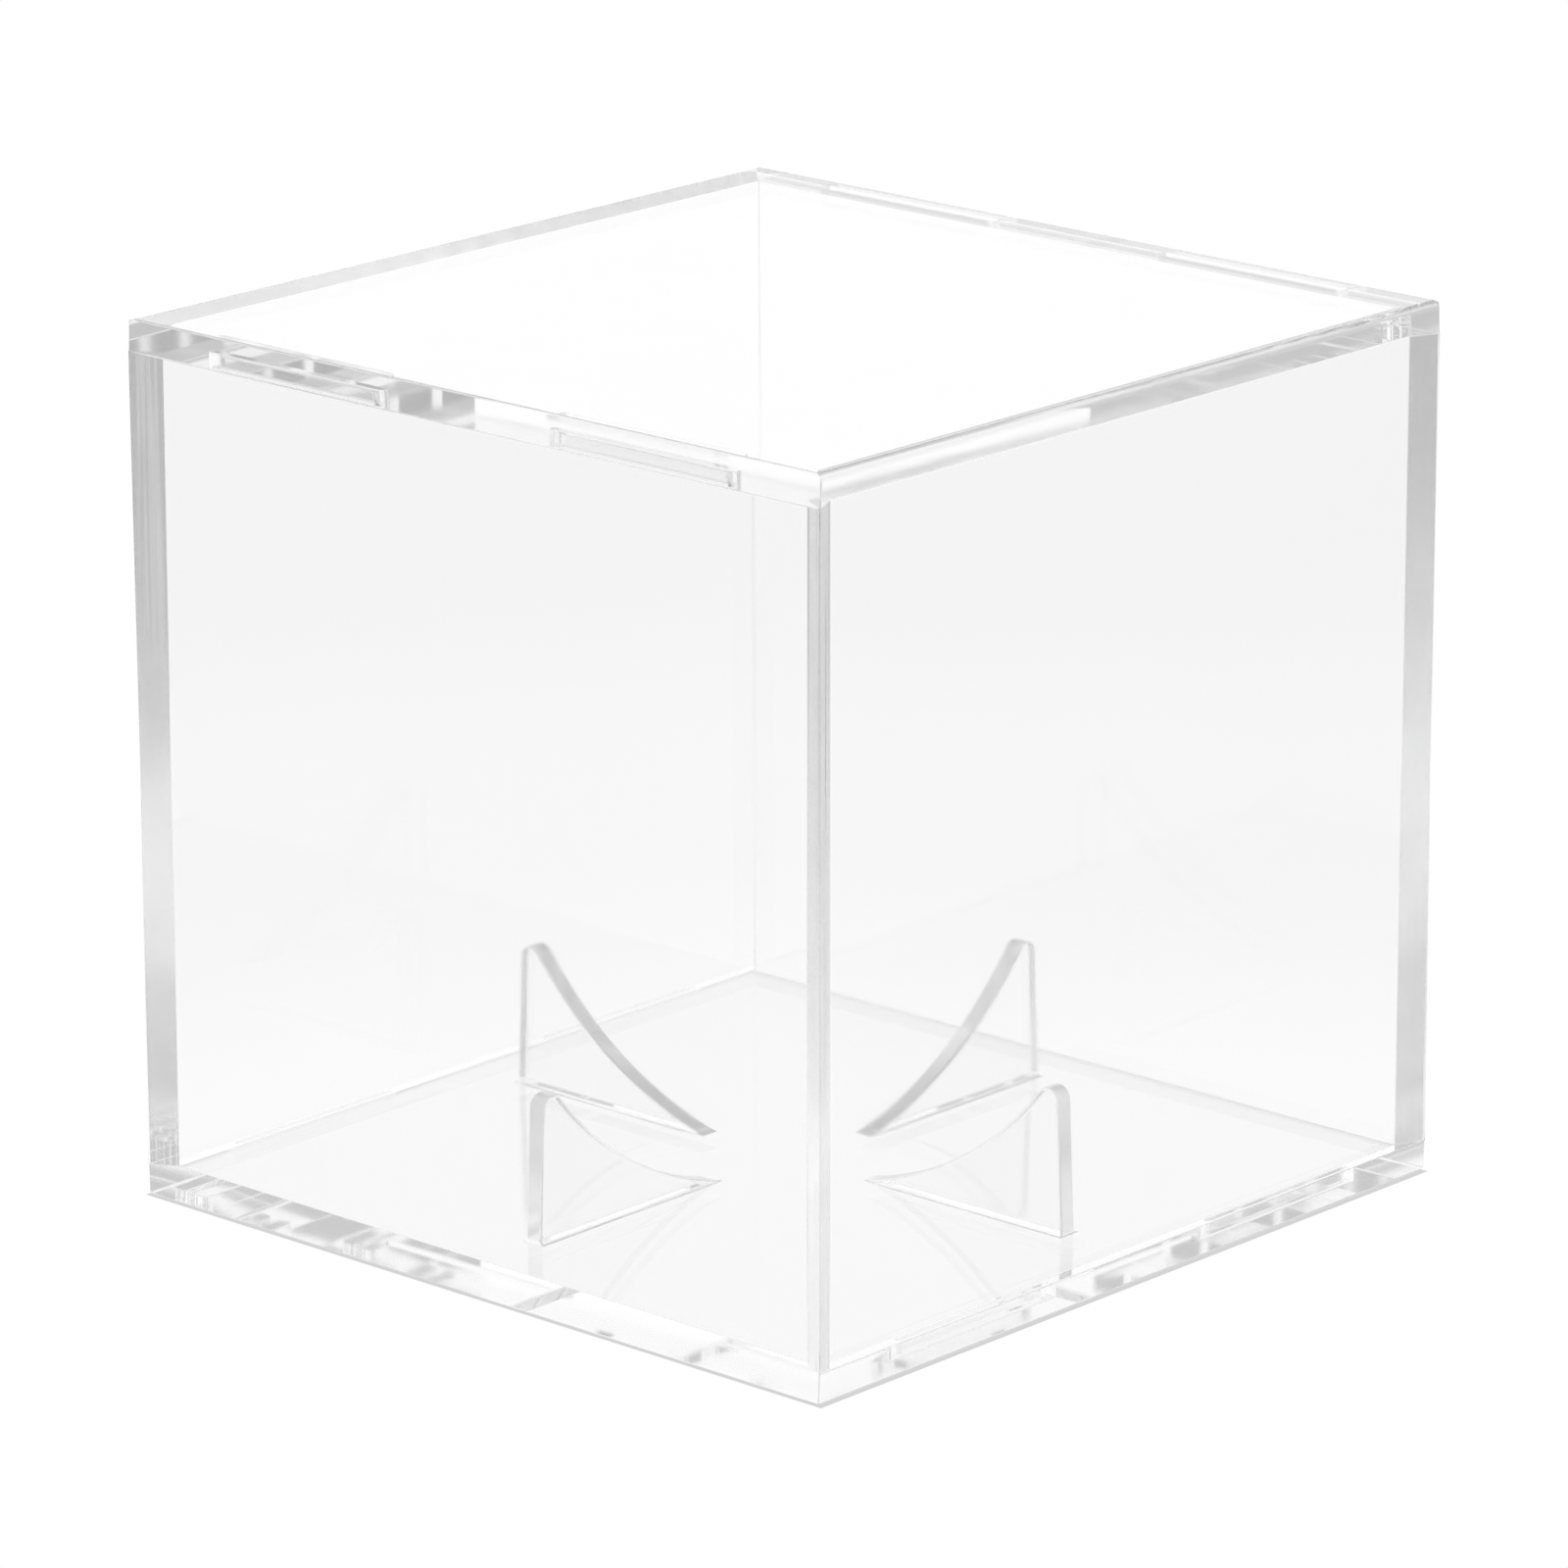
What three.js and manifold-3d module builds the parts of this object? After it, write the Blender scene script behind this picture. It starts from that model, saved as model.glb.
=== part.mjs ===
// Clear display cube for one ball, in millimetres, +Z up.
// Origin: centre of the footprint, on the surface that the cube stands on.
// The cube is two three-sided halves set crosswise. The lower half is the base, the front and back walls and the
// cradle fins. The upper half is the top and the left and right walls, and it lifts straight up off the lower half.
import * as THREE from 'three';
import { mergeVertices } from 'three/addons/utils/BufferGeometryUtils.js';
import Module from 'manifold-3d';

const wasm = await Module();
wasm.setup();

// Outer size: a wall leans in by its draft, from its own half's plate to its free end.
const HEIGHT = 82.1;
const HALF_AT_ROOT = 41.5; // centre to a wall's outer face, level with the plate that it grows from
const HALF_AT_FREE_END = 41.2; // centre to the same face at the free end, and to the side of the other plate

// Sheet thicknesses
const BASE_THICKNESS = 2.75;
const TOP_THICKNESS = 3.0;
const INNER_HALF = 38.7; // centre to the inner face of every wall

// Clearances between the two halves. The drafts and this inset leave a 0.3 mm gap at the mitred upright corners.
const MITRE_INSET = 0.12; // how much narrower a wall's free end is than its root, on each side
const END_GAP = 0.1; // between the free ends of the front and back walls and the top plate

// Two tongues on each free end sit in two pockets of the plate that it meets.
const TONGUE_OFFSET = 20.8; // cube's centre to the tongue's centre, along the wall
const TONGUE_LENGTH = 20.0;
const TONGUE_THICKNESS = 1.2;
const TONGUE_HEIGHT = 1.3;
const TONGUE_PLANE = 39.95; // centre of the cube to the middle of the tongue's thickness
const POCKET_LENGTH = 22.0;
const POCKET_WIDTH = 1.6;
const POCKET_DEPTH = 1.5;

// Ball cradle: four upright fins, cut to a circle that clears the ball.
const BALL_RADIUS = 37.0;
const CRADLE_CLEARANCE = 1.0;
const FIN_THICKNESS = 1.9;
const FIN_FOOT_RADIUS = 32.4; // cube's axis to the fin's outer edge, at the floor
const FIN_TOP_RADIUS = 31.9; // the same, where the nose begins
const FIN_NOSE_RADIUS = 1.3;
const ARC_SEGMENTS = 32;

const OVERRUN = 1.0; // how far a joined or cut shape runs past the face it starts from

const TOP_UNDERSIDE = HEIGHT - TOP_THICKNESS;

// ---------- solids ----------

function toSolid(geometry) {
  const bare = geometry.clone();
  bare.deleteAttribute('normal');
  bare.deleteAttribute('uv');
  const merged = mergeVertices(bare, 1e-5);
  return new wasm.Manifold(new wasm.Mesh({
    numProp: 3,
    vertProperties: Float32Array.from(merged.attributes.position.array),
    triVerts: Uint32Array.from(merged.index.array),
  }));
}

function toGeometry(solid) {
  const mesh = solid.getMesh();
  const geometry = new THREE.BufferGeometry();
  geometry.setAttribute('position', new THREE.BufferAttribute(mesh.vertProperties, mesh.numProp));
  geometry.setIndex(new THREE.BufferAttribute(mesh.triVerts, 1));
  geometry.computeVertexNormals();
  return geometry;
}

function box(halfX, halfY, lowZ, highZ) {
  const geometry = new THREE.BoxGeometry(2 * halfX, 2 * halfY, highZ - lowZ);
  geometry.translate(0, 0, (lowZ + highZ) / 2);
  return geometry;
}

// A solid between two levels, each a trapezium across the wall: its outer and inner lines, each centred on x = 0.
function trapezoidPrism(low, high) {
  const ring = ({ z, outerY, innerY, outerHalf, innerHalf }) => [
    [-outerHalf, -outerY, z], [outerHalf, -outerY, z], [innerHalf, -innerY, z], [-innerHalf, -innerY, z],
  ];
  const geometry = new THREE.BufferGeometry();
  const corners = [...ring(low), ...ring(high)];
  geometry.setAttribute('position', new THREE.BufferAttribute(Float32Array.from(corners.flat()), 3));
  geometry.setIndex([
    0, 2, 1, 0, 3, 2, // underside
    4, 5, 6, 4, 6, 7, // top
    0, 1, 5, 0, 5, 4, // outer face
    1, 2, 6, 1, 6, 5,
    2, 3, 7, 2, 7, 6, // inner face
    3, 0, 4, 3, 4, 7,
  ]);
  return geometry;
}

// A bar with round ends that lies along x, between two levels.
function roundEndedBar(length, width, centreX, centreY, lowZ, highZ) {
  const radius = width / 2;
  const straight = length / 2 - radius;
  const outline = new THREE.Shape();
  outline.absarc(straight, 0, radius, -Math.PI / 2, Math.PI / 2, false);
  outline.absarc(-straight, 0, radius, Math.PI / 2, 1.5 * Math.PI, false);
  const bar = new THREE.ExtrudeGeometry(outline, { depth: highZ - lowZ, bevelEnabled: false, curveSegments: 8 });
  bar.translate(centreX, centreY, lowZ);
  return bar;
}

function tongueBars(length, width, lowZ, highZ, side = -1) {
  return [-TONGUE_OFFSET, TONGUE_OFFSET].map(
    (x) => toSolid(roundEndedBar(length, width, x, side * TONGUE_PLANE, lowZ, highZ)));
}

// ---------- pieces, each drawn as the wall or plate of the lower half ----------

// The wall on the -Y side. It hides the edge of its own plate, has mitred uprights and two tongues on its free end.
function wallSolid(plateThickness, freeEndZ) {
  const foot = trapezoidPrism(
    { z: 0, outerY: HALF_AT_ROOT, innerY: INNER_HALF, outerHalf: HALF_AT_FREE_END, innerHalf: HALF_AT_FREE_END },
    {
      z: plateThickness,
      outerY: outerHalfAt(plateThickness, freeEndZ),
      innerY: INNER_HALF,
      outerHalf: HALF_AT_FREE_END,
      innerHalf: HALF_AT_FREE_END,
    },
  );
  const mitredLevel = (z, inset) => {
    const outerY = outerHalfAt(z, freeEndZ);
    const outerHalf = HALF_AT_FREE_END - inset;
    return { z, outerY, innerY: INNER_HALF, outerHalf, innerHalf: outerHalf - (outerY - INNER_HALF) };
  };
  const panel = trapezoidPrism(mitredLevel(plateThickness, 0), mitredLevel(freeEndZ, MITRE_INSET));
  const tongues = tongueBars(TONGUE_LENGTH, TONGUE_THICKNESS, freeEndZ - OVERRUN, freeEndZ + TONGUE_HEIGHT);
  return tongues.reduce((solid, tongue) => solid.add(tongue), toSolid(foot).add(toSolid(panel)));
}

function outerHalfAt(z, freeEndZ) {
  return THREE.MathUtils.lerp(HALF_AT_ROOT, HALF_AT_FREE_END, z / freeEndZ);
}

// The plate between a half's two walls. Its pockets open on the side that faces into the cube, near its free sides.
function plateSolid(thickness) {
  const plate = toSolid(box(HALF_AT_FREE_END, INNER_HALF, 0, thickness));
  const pockets = [-1, 1].flatMap(
    (side) => tongueBars(POCKET_LENGTH, POCKET_WIDTH, thickness - POCKET_DEPTH, thickness + OVERRUN, side));
  const quarterTurn = [0, 0, 90];
  return pockets.reduce((solid, pocket) => solid.subtract(pocket.rotate(quarterTurn)), plate);
}

// One fin in the plane y = 0 on the +X side, standing on z = 0.
function finGeometry() {
  const cradleRadius = BALL_RADIUS + CRADLE_CLEARANCE;
  const tipRadius = Math.sqrt(cradleRadius ** 2 - BALL_RADIUS ** 2);
  const noseX = FIN_TOP_RADIUS - FIN_NOSE_RADIUS;
  const noseZ = BALL_RADIUS - Math.sqrt((cradleRadius + FIN_NOSE_RADIUS) ** 2 - noseX ** 2);
  const towardsBall = Math.atan2(BALL_RADIUS - noseZ, -noseX);
  const outline = new THREE.Shape();
  outline.moveTo(tipRadius, 0);
  outline.lineTo(FIN_FOOT_RADIUS, 0);
  outline.absarc(noseX, noseZ, FIN_NOSE_RADIUS, 0, towardsBall, false);
  const noseAngle = Math.atan2(noseZ - BALL_RADIUS, noseX);
  const tipAngle = Math.atan2(-BALL_RADIUS, tipRadius);
  outline.absarc(0, BALL_RADIUS, cradleRadius, noseAngle, tipAngle, true);
  const fin = new THREE.ExtrudeGeometry(outline, {
    depth: FIN_THICKNESS, bevelEnabled: false, curveSegments: ARC_SEGMENTS,
  });
  fin.translate(0, 0, -FIN_THICKNESS / 2);
  fin.rotateX(Math.PI / 2);
  return fin;
}

// ---------- assembly ----------

const clearPlastic = new THREE.MeshStandardMaterial({
  color: 0xf2f5f5, roughness: 0.05, metalness: 0, transparent: true, opacity: 0.35,
});

function addPiece(parent, name, geometry) {
  const piece = new THREE.Mesh(geometry, clearPlastic.clone());
  piece.name = name;
  parent.add(piece);
  return piece;
}

const displayCube = new THREE.Group();

const lowerHalf = new THREE.Group();
displayCube.add(lowerHalf);
addPiece(lowerHalf, 'base_plate', toGeometry(plateSolid(BASE_THICKNESS)));
const uprightWall = toGeometry(wallSolid(BASE_THICKNESS, TOP_UNDERSIDE - END_GAP));
addPiece(lowerHalf, 'front_wall', uprightWall);
addPiece(lowerHalf, 'back_wall', uprightWall).rotation.z = Math.PI;

const fin = finGeometry();
['right', 'back', 'left', 'front'].forEach((side, quarter) => {
  const piece = addPiece(lowerHalf, `cradle_fin_${side}`, fin);
  piece.position.z = BASE_THICKNESS;
  piece.rotation.z = quarter * Math.PI / 2;
});

// The upper half is drawn plate down like the lower one, then turned over and a quarter round.
const upperHalf = new THREE.Group();
upperHalf.position.z = HEIGHT;
upperHalf.rotation.set(Math.PI, 0, Math.PI / 2);
displayCube.add(upperHalf);
addPiece(upperHalf, 'top_plate', toGeometry(plateSolid(TOP_THICKNESS)));
const hangingWall = toGeometry(wallSolid(TOP_THICKNESS, HEIGHT - BASE_THICKNESS));
addPiece(upperHalf, 'left_wall', hangingWall);
addPiece(upperHalf, 'right_wall', hangingWall).rotation.z = Math.PI;

export default displayCube;
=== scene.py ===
import math

import bmesh
import bpy
from mathutils import Matrix, Vector


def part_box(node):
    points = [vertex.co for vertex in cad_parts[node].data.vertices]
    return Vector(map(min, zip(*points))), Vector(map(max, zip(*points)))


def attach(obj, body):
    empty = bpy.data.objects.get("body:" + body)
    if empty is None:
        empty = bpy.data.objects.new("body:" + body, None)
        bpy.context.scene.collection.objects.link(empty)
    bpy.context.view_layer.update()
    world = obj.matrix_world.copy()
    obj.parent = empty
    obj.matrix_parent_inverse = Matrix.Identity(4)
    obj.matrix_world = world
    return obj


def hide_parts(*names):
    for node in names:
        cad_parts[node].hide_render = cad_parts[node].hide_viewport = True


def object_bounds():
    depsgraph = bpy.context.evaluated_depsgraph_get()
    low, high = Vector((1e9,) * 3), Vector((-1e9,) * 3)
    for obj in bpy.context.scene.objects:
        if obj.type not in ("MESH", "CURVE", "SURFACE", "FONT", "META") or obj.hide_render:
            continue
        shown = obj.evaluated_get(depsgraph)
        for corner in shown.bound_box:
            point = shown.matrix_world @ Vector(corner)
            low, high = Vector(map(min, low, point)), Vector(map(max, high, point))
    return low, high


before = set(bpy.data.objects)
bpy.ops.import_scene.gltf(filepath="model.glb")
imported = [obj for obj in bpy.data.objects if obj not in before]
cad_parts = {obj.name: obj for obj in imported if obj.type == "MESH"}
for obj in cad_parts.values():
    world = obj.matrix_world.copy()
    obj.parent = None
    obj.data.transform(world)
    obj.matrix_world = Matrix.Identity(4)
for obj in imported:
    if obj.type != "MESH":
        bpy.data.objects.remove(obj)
cad_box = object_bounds()
MM = 0.001

LOWER_NODES = ("base_plate", "front_wall", "back_wall",
               "cradle_fin_front", "cradle_fin_back", "cradle_fin_left", "cradle_fin_right")
UPPER_NODES = ("top_plate", "left_wall", "right_wall")
X_AXIS, Y_AXIS, Z_AXIS = 0, 1, 2
POLISHED, SATIN, FROSTED = 0, 1, 2  # the mouldings' material slots, in the order of finishes below

# Radii that edges are rounded to
EDGE_RADIUS = 0.05 * MM  # any outer edge that isn't named below
CREASE_RADIUS = 0.12 * MM  # inner corners
MITRE_EDGE_RADIUS = 0.03 * MM  # round the slanting faces of the upright corners
FOOT_RADIUS = 0.14 * MM  # round the cube's foot, and the plates' upright corners
TOP_RADIUS = 0.18 * MM  # front and back edges of the top
CROWN_RADIUS = 0.8 * MM  # left and right edges of the top, the largest radius of all
FIN_EDGE_RADIUS = 0.32 * MM
FIN_FILLET_RADIUS = 0.3 * MM
FIN_TIP_FILLET_RADIUS = 0.03 * MM  # at the fins' inner tips, where there is no room for more
ROUNDING_STEPS = 3

# What counts as which edge or face
LEVEL_GAP = 0.01 * MM  # heights closer than this are the same height
OUTLINE_REACH = 0.4 * MM  # how far inside the cube's sides an edge may lie and still be part of its outline
PLATE_CORNER_HEIGHTS = (1 * MM, 4 * MM)
SHARP_ANGLE = 30  # degrees
SHARP_LEVEL_ANGLE = 10  # degrees, for an edge that doesn't run upright
UPRIGHT_RUN = 0.5  # vertical part of a unit vector, past which it counts as upright
NORMAL_SLACK = 0.05
MITRE_LEAST_AREA = 10 * MM * MM
FIN_SIDE_NORMAL = 0.95
CEILING_MARGIN = 1 * MM

FIN_TIP_LENGTH = 3 * MM
FIN_FOOT_LENGTH = 9 * MM  # the edges along a fin's foot are longer than this, those across its ends shorter
FIN_MARGIN = 0.1 * MM
MITRE_SLIDE = 0.12 * MM
REST_GAP = 0.05 * MM
MERGE_GAP = 0.002 * MM
FLAT_ANGLE = 0.1  # degrees

FLOOR_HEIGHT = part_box("base_plate")[1][Z_AXIS]
CEILING_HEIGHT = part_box("top_plate")[0][Z_AXIS]
FIN_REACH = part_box("cradle_fin_right")[1][X_AXIS] + FIN_MARGIN
FIN_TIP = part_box("cradle_fin_right")[0][X_AXIS]

# Clear plastic
TINT = 0.99
REFRACTION = 1.49
ABSORPTION = 0.3  # per metre
GLOSS_PATCH = 12 * MM
PATCH_DETAIL = 4.0
PATCH_RANGE = (0.35, 0.7)  # noise levels at which the gloss starts and stops changing
WAVE_DETAIL = 1.0


# ---------- mouldings ----------

def clean_object(name, source):
    """An object with source's shape: doubled points merged, flat faces joined, no stored normals."""
    mesh = bpy.data.meshes.new(name)
    mesh.from_pydata([v.co for v in source.vertices], [], [list(p.vertices) for p in source.polygons])
    work = bmesh.new()
    work.from_mesh(mesh)
    bmesh.ops.remove_doubles(work, verts=work.verts, dist=MERGE_GAP)
    bmesh.ops.dissolve_limit(work, angle_limit=math.radians(FLAT_ANGLE), verts=work.verts, edges=work.edges)
    work.to_mesh(mesh)
    work.free()
    piece = bpy.data.objects.new(name, mesh)
    bpy.context.scene.collection.objects.link(piece)
    return piece


def evaluated_mesh(piece):
    """The mesh that piece's modifiers make."""
    graph = bpy.context.evaluated_depsgraph_get()
    return bpy.data.meshes.new_from_object(piece.evaluated_get(graph))


def fuse(name, nodes):
    """One closed solid from CAD solids that meet face to face."""
    first, *others = [clean_object(node + "_copy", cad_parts[node].data) for node in nodes]
    for other in others:
        join = first.modifiers.new("join", "BOOLEAN")
        join.operation = "UNION"
        join.solver = "EXACT"
        join.object = other
    fused = clean_object(name, evaluated_mesh(first))
    for piece in (first, *others):
        bpy.data.objects.remove(piece)
    return fused


def middle_of(edge):
    return (edge.verts[0].co + edge.verts[1].co) / 2


def is_corner(edge):
    """True for an edge to round off: not one between the steps of a round stretch."""
    angle = math.degrees(edge.calc_face_angle())
    run = (edge.verts[0].co - edge.verts[1].co).normalized()
    return angle > SHARP_ANGLE or (angle > SHARP_LEVEL_ANGLE and abs(run.z) < UPRIGHT_RUN)


def is_mitre(face):
    """True for a slanting face of an upright corner, where the two halves meet."""
    normal = face.normal
    upright = abs(normal.z) < NORMAL_SLACK
    slanting = abs(abs(normal.x) - abs(normal.y)) < NORMAL_SLACK
    return upright and slanting and face.calc_area() > MITRE_LEAST_AREA


def is_outline(edge):
    """True for an outer edge of the whole cube: round the top, round the foot or up a plate's corner."""
    low, high = cad_box
    middle = middle_of(edge)
    sides = [abs(middle[axis]) > high[axis] - OUTLINE_REACH for axis in (X_AXIS, Y_AXIS)]
    ends = middle.z > high[Z_AXIS] - LEVEL_GAP or middle.z < low[Z_AXIS] + LEVEL_GAP
    shortest, longest = PLATE_CORNER_HEIGHTS
    plate_corner = shortest < abs(edge.verts[0].co.z - edge.verts[1].co.z) < longest
    return (any(sides) and ends) or (all(sides) and plate_corner)


def is_by_fins(place):
    """True inside the cube, clear of its walls and its top."""
    across = max(abs(place.x), abs(place.y))
    return across < FIN_REACH and FLOOR_HEIGHT - LEVEL_GAP < place.z < CEILING_HEIGHT - CEILING_MARGIN


def is_fin_rim(face):
    """True for the narrow faces of a cradle fin, above the fillets at its foot."""
    place = face.center
    across = face.normal.y if abs(place.x) > abs(place.y) else face.normal.x
    above_fillets = place.z > FLOOR_HEIGHT + FIN_FILLET_RADIUS
    return is_by_fins(place) and above_fillets and abs(across) < FIN_SIDE_NORMAL


def outline_rounding(middle):
    low, high = cad_box
    if middle.z < high[Z_AXIS] - LEVEL_GAP:
        return FOOT_RADIUS
    return CROWN_RADIUS if abs(middle.x) > high[X_AXIS] - OUTLINE_REACH else TOP_RADIUS


def fin_rounding(edge, middle):
    if edge.is_convex:
        return min(FIN_EDGE_RADIUS, (middle.z - FLOOR_HEIGHT) / 2)
    at_tip = math.hypot(middle.x, middle.y) <= FIN_TIP + FIN_TIP_LENGTH
    return FIN_TIP_FILLET_RADIUS if at_tip else FIN_FILLET_RADIUS


def rounding(edge):
    """The radius that an edge is rounded to."""
    middle = middle_of(edge)
    if is_outline(edge):
        return outline_rounding(middle)
    if is_by_fins(middle):
        return fin_rounding(edge, middle)
    if any(is_mitre(face) for face in edge.link_faces):
        return MITRE_EDGE_RADIUS
    return EDGE_RADIUS if edge.is_convex else CREASE_RADIUS


def close_mitres(work, wall_axis):
    """Slides each slanting corner face out along its wall, to leave a fine gap between the halves."""
    moved = {vertex for face in work.faces if is_mitre(face) for vertex in face.verts}
    for vertex in moved:
        vertex.co[wall_axis] += math.copysign(MITRE_SLIDE, vertex.co[wall_axis])


def lift_free_ends(work, rest_gap):
    """Leaves rest_gap of air under walls that rest on the base plate."""
    for vertex in work.verts:
        if abs(vertex.co.z - FLOOR_HEIGHT) < LEVEL_GAP:
            vertex.co.z += rest_gap


def mark_tips(work):
    """Splits the edges along the fins' feet near the fins' inner tips, so the tips get smaller fillets."""
    feet = [edge for edge in work.edges if not edge.is_convex and
            edge.calc_length() > FIN_FOOT_LENGTH and is_by_fins(middle_of(edge))]
    for edge in feet:
        tip = min(edge.verts, key=lambda vertex: math.hypot(vertex.co.x, vertex.co.y))
        bmesh.utils.edge_split(edge, tip, FIN_TIP_LENGTH / edge.calc_length())


def weigh_edges(work):
    """Notes each edge's radius on it, as a share of the largest one."""
    weight = work.edges.layers.float.new("bevel_weight_edge")
    for edge in work.edges:
        if is_corner(edge):
            edge[weight] = rounding(edge) / CROWN_RADIUS


def round_edges(piece):
    """Rounds the edges to the radii noted on them."""
    bevel = piece.modifiers.new("edges", "BEVEL")
    bevel.width = CROWN_RADIUS
    bevel.segments = ROUNDING_STEPS
    bevel.limit_method = "WEIGHT"
    bevel.harden_normals = True
    bevel.use_clamp_overlap = False
    bevel.material = POLISHED
    piece.data = evaluated_mesh(piece)
    piece.modifiers.remove(bevel)


def finish_moulding(piece, wall_axis, rest_gap):
    """Fits a fused half to the other one, rounds its edges and says which finish each face has."""
    work = bmesh.new()
    work.from_mesh(piece.data)
    close_mitres(work, wall_axis)
    lift_free_ends(work, rest_gap)
    mark_tips(work)
    work.normal_update()
    weigh_edges(work)
    for face in work.faces:
        face.smooth = True
        face.material_index = SATIN if is_mitre(face) else POLISHED
    work.to_mesh(piece.data)
    work.free()
    round_edges(piece)
    for face in piece.data.polygons:
        if is_fin_rim(face):
            face.material_index = FROSTED


def make_half(name, nodes, body, wall_axis, rest_gap):
    """One moulding, whose two walls run along wall_axis."""
    piece = fuse(name, nodes)
    for finish in finishes:
        piece.data.materials.append(finish)
    finish_moulding(piece, wall_axis, rest_gap)
    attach(piece, body)
    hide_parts(*nodes)


# ---------- node building ----------

def calculate(tree, operation, *values):
    """The output of a math node on sockets or plain numbers."""
    made = tree.nodes.new("ShaderNodeMath")
    made.operation = operation
    for socket, value in zip(made.inputs, values):
        if isinstance(value, bpy.types.NodeSocket):
            tree.links.new(value, socket)
        else:
            socket.default_value = value
    return made.outputs[0]


def along(tree, vector, direction):
    """How far vector reaches along direction."""
    made = tree.nodes.new("ShaderNodeVectorMath")
    made.operation = "DOT_PRODUCT"
    tree.links.new(vector, made.inputs[0])
    made.inputs[1].default_value = direction
    return made.outputs["Value"]


def distance_along(tree, vector, direction):
    """How far vector reaches along direction, either way."""
    return calculate(tree, "ABSOLUTE", along(tree, vector, direction))


def ramp(tree, value, start, end, first=0.0, last=1.0):
    """first up to start, last past end, smooth between."""
    made = tree.nodes.new("ShaderNodeMapRange")
    made.interpolation_type = "SMOOTHSTEP"
    made.inputs["From Min"].default_value = start
    made.inputs["From Max"].default_value = end
    made.inputs["To Min"].default_value = first
    made.inputs["To Max"].default_value = last
    tree.links.new(value, made.inputs["Value"])
    return made.outputs["Result"]


def noise(tree, place, feature_size, detail):
    made = tree.nodes.new("ShaderNodeTexNoise")
    made.inputs["Scale"].default_value = 1 / feature_size
    made.inputs["Detail"].default_value = detail
    tree.links.new(place, made.inputs["Vector"])
    return made.outputs["Fac"]


def stretched(tree, place, rise):
    """place with its heights multiplied by rise."""
    made = tree.nodes.new("ShaderNodeVectorMath")
    made.operation = "MULTIPLY"
    tree.links.new(place, made.inputs[0])
    made.inputs[1].default_value = (1, 1, rise)
    return made.outputs["Vector"]


def clear_plastic(name, smooth, hazy, wave_length, wave_height, rise=1.0):
    """Clear moulded plastic: gloss that varies from smooth to hazy in soft patches, and a gently wavy skin.

    rise below 1 draws the waves out upwards into streaks.
    """
    material = bpy.data.materials.new(name)
    material.use_nodes = True
    tree = material.node_tree
    shader = tree.nodes["Principled BSDF"]
    shader.inputs["Base Color"].default_value = (TINT, TINT, TINT, 1)
    shader.inputs["IOR"].default_value = REFRACTION
    shader.inputs["Transmission Weight"].default_value = 1.0
    place = tree.nodes.new("ShaderNodeTexCoord").outputs["Object"]
    patches = noise(tree, place, GLOSS_PATCH, PATCH_DETAIL)
    tree.links.new(ramp(tree, patches, *PATCH_RANGE, smooth, hazy), shader.inputs["Roughness"])
    waves = tree.nodes.new("ShaderNodeBump")
    waves.inputs["Strength"].default_value = 1.0
    waves.inputs["Distance"].default_value = wave_height
    skin = noise(tree, stretched(tree, place, rise), wave_length, WAVE_DETAIL)
    tree.links.new(skin, waves.inputs["Height"])
    tree.links.new(waves.outputs["Normal"], shader.inputs["Normal"])
    absorb = tree.nodes.new("ShaderNodeVolumeAbsorption")
    absorb.inputs["Color"].default_value = (0, 0, 0, 1)
    absorb.inputs["Density"].default_value = ABSORPTION
    tree.links.new(absorb.outputs["Volume"], tree.nodes["Material Output"].inputs["Volume"])
    return material


finishes = (
    clear_plastic("polished_plastic", smooth=0.02, hazy=0.045,
                  wave_length=9 * MM, wave_height=0.006 * MM),
    clear_plastic("satin_plastic", smooth=0.1, hazy=0.26,
                  wave_length=1.2 * MM, wave_height=0.2 * MM, rise=0.03),
    clear_plastic("frosted_plastic", smooth=0.3, hazy=0.42,
                  wave_length=2 * MM, wave_height=0.02 * MM),
)
make_half("lower_moulding", LOWER_NODES, "lower_half", X_AXIS, 0)
make_half("upper_moulding", UPPER_NODES, "upper_half", Y_AXIS, REST_GAP)


# ---------- studio: bright before and behind the cube, dimmer to the camera's left and right, in the sky's light and in painted shade on the glowing floor ---

CAMERA_AZIMUTH = 42.41  # degrees, from the front of the cube towards its right side
BRIGHT = 1.0
DIM = 0.58
SKY_BRIGHT = 1.08
SIDE = Vector((math.cos(math.radians(CAMERA_AZIMUTH)), math.sin(math.radians(CAMERA_AZIMUTH)), 0))
AWAY = Vector((-SIDE.y, SIDE.x, 0))

FLOOR_HALF = 6.0
FLOOR_DROP = 0.2 * MM  # air under the cube
# Metres to the side of the cube at which the floor starts to fade into its painted grey shade, is dim,
# starts to brighten and is bright
BAND_HALF = 0.074
FADE_END = 0.16
RETURN_START = 0.45
RETURN_END = 1.1
BAND_SPREAD = 0.09  # how much further out these lie for each metre before or behind the cube
# Painted shade under the cube, as shares of the floor's own light, and where it ends, measured from the
# cube's axis
UNDERNEATH = 0.93
CONTACT = 0.65
SHADE_CORE = 39.5 * MM
CONTACT_LINE = 41.3 * MM
SHADE_REACH = 41.7 * MM

# The sky's dim parts: how far to the side and how high a direction points, as parts of a unit vector
DIM_SIDEWAYS = (0.76, 0.92)
DIM_HEIGHT = (0.45, 0.62)


def floor_glow_with_painted_bands(tree, place):
    """The floor's glow with painted shade: bright in a band that runs past the cube, painted grey at its
    sides, bright again further out.
    """
    spread = calculate(tree, "MULTIPLY", distance_along(tree, place, AWAY), BAND_SPREAD)
    sideways = calculate(tree, "SUBTRACT", distance_along(tree, place, SIDE), spread)
    return calculate(tree, "MAXIMUM", ramp(tree, sideways, BAND_HALF, FADE_END, BRIGHT, DIM),
                     ramp(tree, sideways, RETURN_START, RETURN_END, DIM, BRIGHT))


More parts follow.
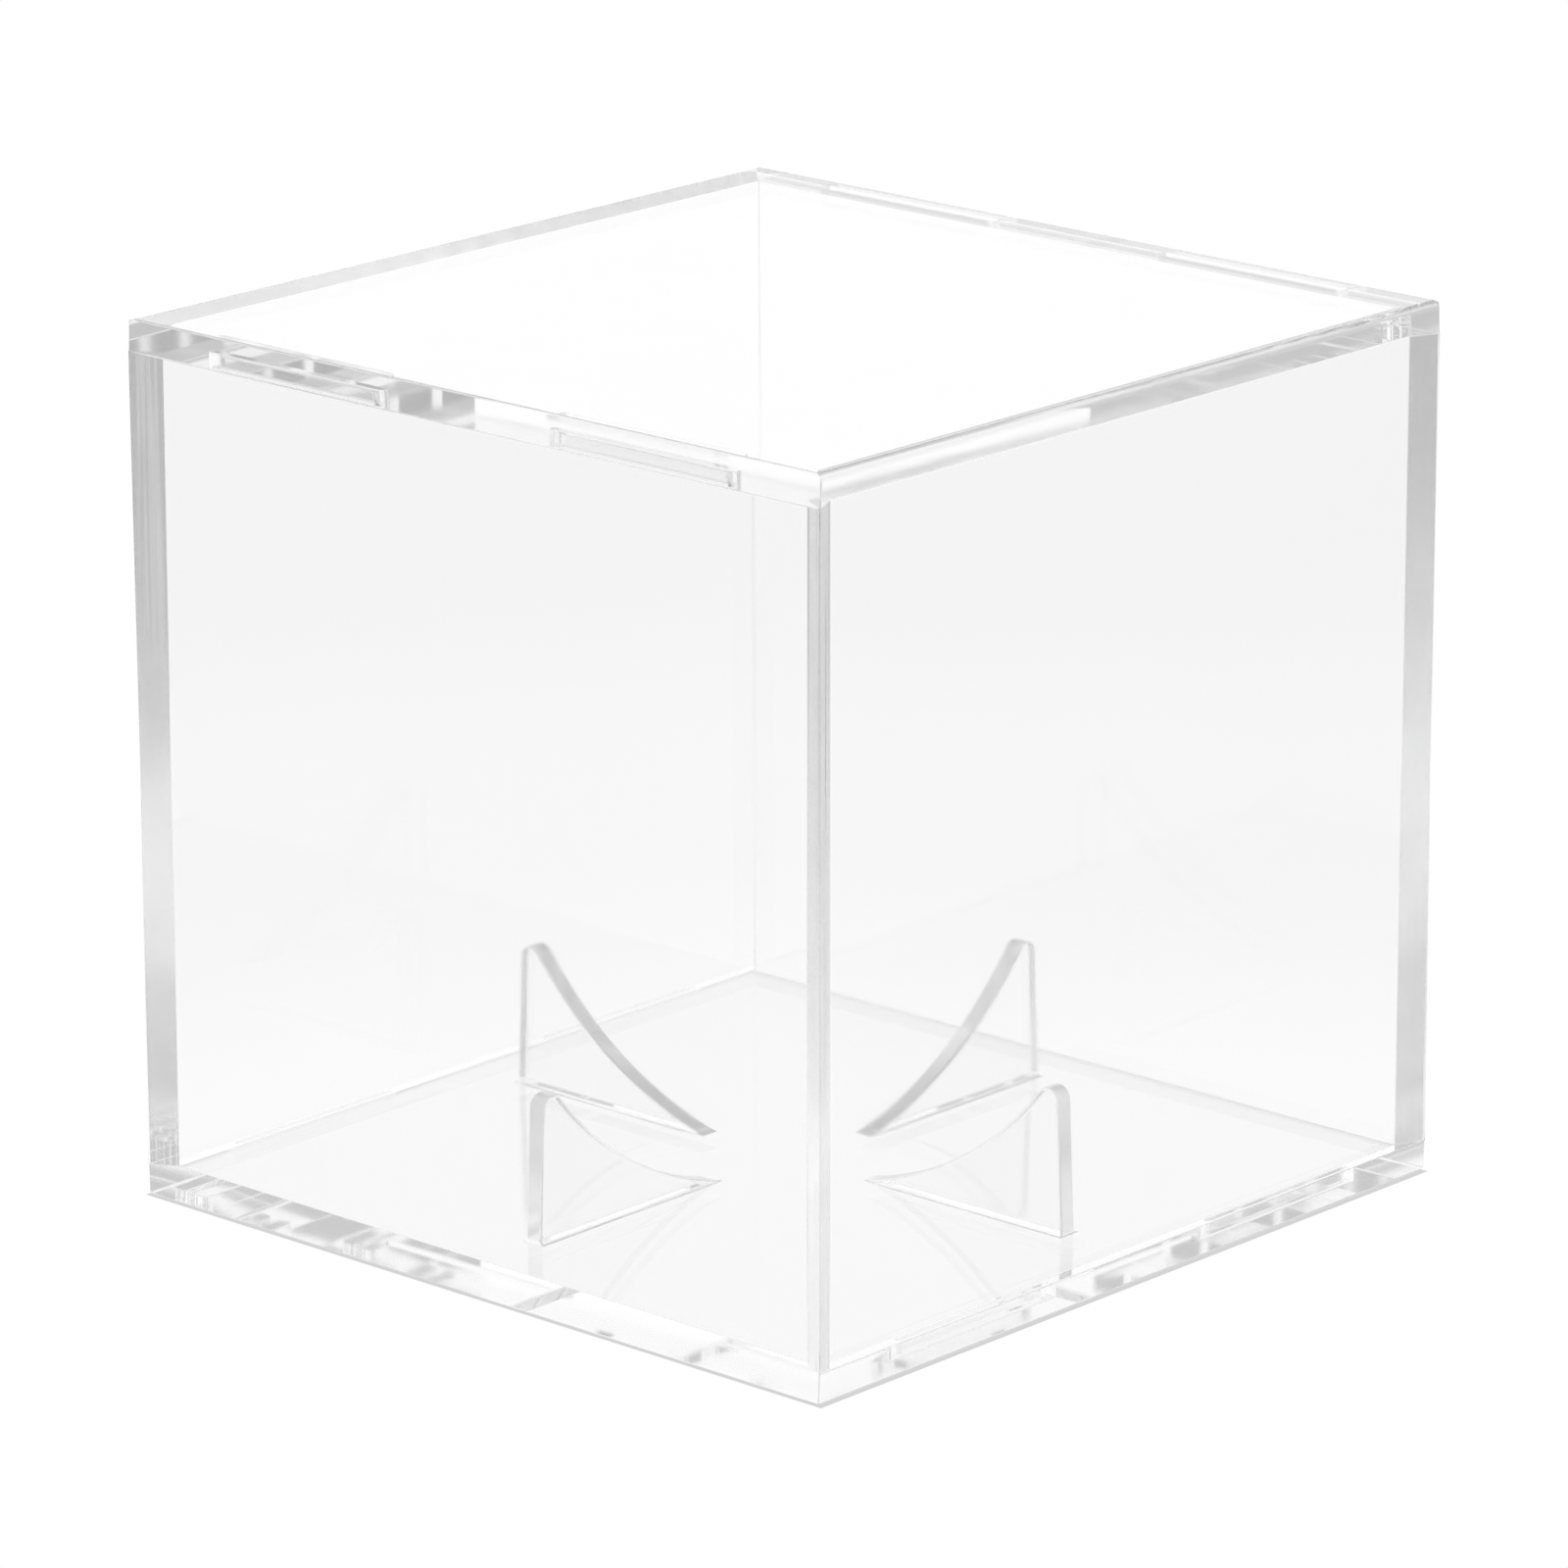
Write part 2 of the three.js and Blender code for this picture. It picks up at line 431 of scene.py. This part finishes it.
def painted_floor_shade(tree, place):
    """A light painted shade under the cube that ends in a darker painted contact line under the cube's
    outer edge.
    """
    reach = calculate(tree, "MAXIMUM", distance_along(tree, place, Vector((1, 0, 0))),
                      distance_along(tree, place, Vector((0, 1, 0))))
    return calculate(tree, "MAXIMUM", ramp(tree, reach, SHADE_CORE, CONTACT_LINE, UNDERNEATH, CONTACT),
                     ramp(tree, reach, CONTACT_LINE, SHADE_REACH))


def floor_material():
    material = bpy.data.materials.new("floor")
    material.use_nodes = True
    tree = material.node_tree
    tree.nodes.clear()
    place = tree.nodes.new("ShaderNodeTexCoord").outputs["Object"]
    # The floor has no lit colour, only a glow: its grey bands and the shade under the cube are painted into
    # that glow
    glow = tree.nodes.new("ShaderNodeEmission")
    strength = calculate(tree, "MULTIPLY", floor_glow_with_painted_bands(tree, place), painted_floor_shade(tree, place))
    tree.links.new(strength, glow.inputs["Strength"])
    output = tree.nodes.new("ShaderNodeOutputMaterial")
    tree.links.new(glow.outputs[0], output.inputs["Surface"])
    return material


def make_floor():
    mesh = bpy.data.meshes.new("floor")
    corners = [(x * FLOOR_HALF, y * FLOOR_HALF, 0) for x, y in ((-1, -1), (1, -1), (1, 1), (-1, 1))]
    mesh.from_pydata(corners, [], [(0, 1, 2, 3)])
    mesh.materials.append(floor_material())
    floor = bpy.data.objects.new("floor", mesh)
    bpy.context.scene.collection.objects.link(floor)
    floor.location.z = -FLOOR_DROP


def make_world():
    world = bpy.data.worlds.new("studio")
    bpy.context.scene.world = world
    world.use_nodes = True
    tree = world.node_tree
    direction = tree.nodes.new("ShaderNodeTexCoord").outputs["Generated"]
    sideways = ramp(tree, distance_along(tree, direction, SIDE), *DIM_SIDEWAYS)
    low = ramp(tree, along(tree, direction, Vector((0, 0, 1))), *DIM_HEIGHT, 1.0, 0.0)
    dimmed = calculate(tree, "MULTIPLY", sideways, low)
    strength = calculate(tree, "MULTIPLY_ADD", dimmed, DIM - SKY_BRIGHT, SKY_BRIGHT)
    tree.links.new(strength, tree.nodes["Background"].inputs["Strength"])
    tree.nodes["Background"].inputs["Color"].default_value = (1, 1, 1, 1)


make_floor()
make_world()

# A ray can bounce about inside the clear walls very many times before it leaves them.
MOST_BOUNCES = 128
cycles = bpy.context.scene.cycles
cycles.max_bounces = MOST_BOUNCES
cycles.transmission_bounces = MOST_BOUNCES
cycles.glossy_bounces = MOST_BOUNCES


# ---------- camera ----------

CAMERA_ELEVATION = 16.56  # degrees
CAMERA_ROLL = -0.19  # degrees
CAMERA_DISTANCE = 806.4 * MM
CAMERA_AIM = Vector((0.3, -0.8, 38.2)) * MM
CAMERA_LENS = 204.8  # focal length in millimetres, as Blender takes it
CAMERA_SENSOR = 36.0  # width in millimetres, likewise
CAMERA_CLIP = 0.01


def place_camera():
    azimuth = math.radians(CAMERA_AZIMUTH)
    elevation = math.radians(CAMERA_ELEVATION)
    level_reach = math.cos(elevation)
    back = Vector((math.sin(azimuth) * level_reach, -math.cos(azimuth) * level_reach, math.sin(elevation)))
    data = bpy.data.cameras.new("camera")
    data.lens = CAMERA_LENS
    data.sensor_width = CAMERA_SENSOR
    data.clip_start = CAMERA_CLIP
    camera = bpy.data.objects.new("camera", data)
    bpy.context.scene.collection.objects.link(camera)
    look = (-back).to_track_quat("-Z", "Y").to_matrix().to_4x4()
    roll = Matrix.Rotation(math.radians(CAMERA_ROLL), 4, "Z")
    camera.matrix_world = Matrix.Translation(CAMERA_AIM + back * CAMERA_DISTANCE) @ look @ roll
    bpy.context.scene.camera = camera


place_camera()
bpy.context.scene.view_settings.view_transform = "Standard"
